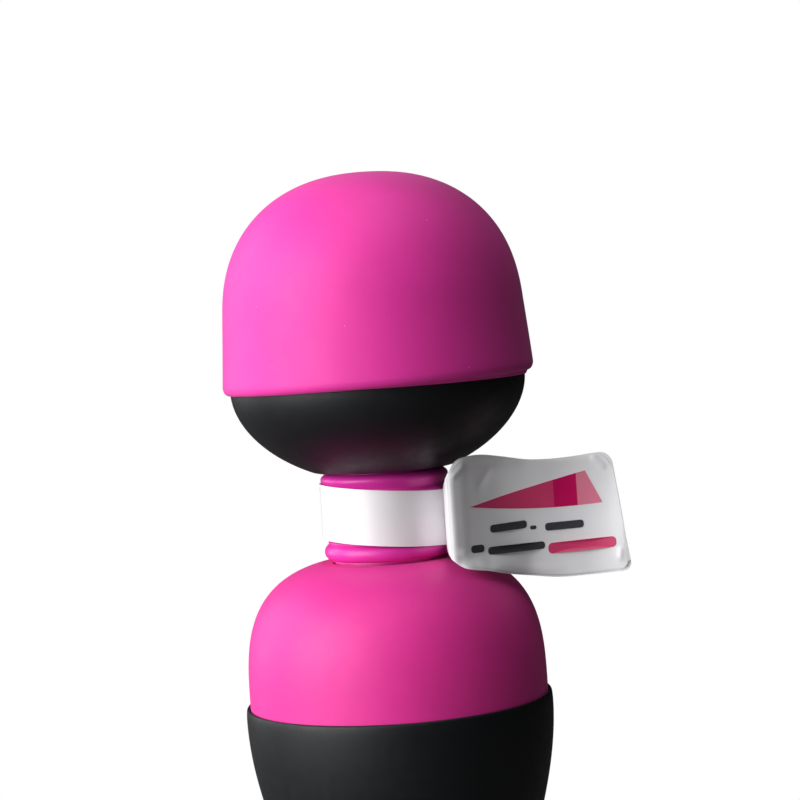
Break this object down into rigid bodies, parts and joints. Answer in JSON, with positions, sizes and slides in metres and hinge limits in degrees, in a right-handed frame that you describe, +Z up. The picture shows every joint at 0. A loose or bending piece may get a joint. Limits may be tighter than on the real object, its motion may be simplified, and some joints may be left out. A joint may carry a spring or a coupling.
{
  "type": "handheld wand massager",
  "caption": "Handheld wand massager: pull-off silicone cap on a vibrating head, flexible neck with a wrapped label flag, and a waisted cordless handle with press buttons.",
  "frame": {"origin": "centre of the foot pad's underside, which the wand stands on", "axes": "+Z up the wand's axis to the head, +X towards the label's flag, +Y to the back, where the buttons and the charge socket are"},
  "size_m": [0.0621, 0.0498, 0.18],
  "materials": {
    "silicone_fuchsia": "matte silicone",
    "shoulder_fuchsia": "matte soft-touch plastic",
    "button_fuchsia": "matte soft-touch plastic",
    "charcoal_shell": "satin charcoal plastic",
    "charcoal_dome": "satin charcoal plastic",
    "flap_silicone": "matte charcoal silicone",
    "label_film": "white laminated label",
    "black_rubber": "black rubber",
    "inner_nylon": "grey glass-filled nylon",
    "screw_steel": "zinc-plated steel",
    "spring_steel": "drawn steel",
    "motor_steel": "plated steel can",
    "magnet_ferrite": "dark ferrite",
    "motor_end_nylon": "natural nylon",
    "bronze_bush": "sintered bronze",
    "armature_winding": "laminations with copper windings",
    "copper_segments": "copper segments",
    "weight_brass": "turned brass",
    "lead_red_pvc": "red insulation",
    "lead_black_pvc": "black insulation",
    "cell_wrap": "blue-wrapped cell",
    "nickel_strip": "nickel strip",
    "board_green": "green solder mask",
    "switch_metal": "tin-plated cover",
    "socket_metal": "tin-plated shell",
    "led_body": "clear epoxy",
    "lens_clear": "clear light pipe"
  },
  "bodies": {
    "handle": {"handle_shell": "charcoal_shell", "shoulder_cover": "shoulder_fuchsia", "shoulder_seal": "black_rubber", "chassis": "inner_nylon", "chassis_screw_1": "screw_steel", "chassis_screw_2": "screw_steel", "battery_cell": "cell_wrap", "battery_tab_top": "nickel_strip", "battery_tab_bottom": "nickel_strip", "main_board": "board_green", "plus_switch": "switch_metal", "minus_switch": "switch_metal", "status_led": "led_body", "indicator_lens": "lens_clear", "button_gasket": "black_rubber", "charge_board": "board_green", "charge_socket": "socket_metal", "base_cap": "charcoal_shell", "base_seal": "black_rubber", "base_screw_1": "screw_steel", "base_screw_2": "screw_steel", "foot_pad": "black_rubber", "lower_neck_collar": "inner_nylon"},
    "neck": {"neck_sleeve": "silicone_fuchsia", "neck_spring": "spring_steel", "neck_tag": "label_film", "motor_lead_red": "lead_red_pvc", "motor_lead_black": "lead_black_pvc"},
    "head": {"head_bowl": "charcoal_shell", "head_dome": "charcoal_dome", "head_seal": "black_rubber", "head_screw_1": "screw_steel", "head_screw_2": "screw_steel", "head_screw_3": "screw_steel", "motor_can": "motor_steel", "motor_magnet": "magnet_ferrite", "motor_end_cap": "motor_end_nylon", "motor_bush": "bronze_bush", "motor_cushion": "black_rubber", "motor_cradle": "inner_nylon", "cradle_screw_1": "screw_steel", "cradle_screw_2": "screw_steel", "upper_neck_collar": "inner_nylon"},
    "rotor": {"motor_shaft": "spring_steel", "motor_armature": "armature_winding", "commutator": "copper_segments", "eccentric_weight": "weight_brass"},
    "cap": {"massage_cap": "silicone_fuchsia"},
    "plus_button": {"plus_button": "button_fuchsia"},
    "minus_button": {"minus_button": "button_fuchsia"},
    "port_flap": {"port_flap": "flap_silicone"}
  },
  "joints": [
    {"name": "neck_sway", "type": "hinge", "parent": "handle", "child": "neck", "pos_m": [0, 0, 0.1188], "axis": [0, 1, 0], "range_deg": [-5, 5], "stiffness_Nm_per_rad": 1.2, "deforming": ["neck_sleeve", "neck_spring", "motor_lead_red", "motor_lead_black"]},
    {"name": "head_nod", "type": "hinge", "parent": "neck", "child": "head", "pos_m": [0, 0, 0.131], "axis": [1, 0, 0], "range_deg": [-5, 5], "stiffness_Nm_per_rad": 1.2},
    {"name": "rotor_spin", "type": "hinge", "parent": "head", "child": "rotor", "pos_m": [0, 0, 0.15], "axis": [0, 0, 1], "continuous": true},
    {"name": "cap_pull", "type": "slide", "parent": "head", "child": "cap", "axis": [0, 0, 1], "range_m": [0, 0.045]},
    {"name": "plus_press", "type": "slide", "parent": "handle", "child": "plus_button", "axis": [0, -1, 0], "range_m": [0, 0.0008], "stiffness_N_per_m": 300, "springref_m": -0.003},
    {"name": "minus_press", "type": "slide", "parent": "handle", "child": "minus_button", "axis": [0, -1, 0], "range_m": [0, 0.0008], "stiffness_N_per_m": 300, "springref_m": -0.003},
    {"name": "flap_hinge", "type": "hinge", "parent": "handle", "child": "port_flap", "pos_m": [0, 0.0207, 0.0135], "axis": [-1, 0, 0], "range_deg": [0, 100]}
  ]
}
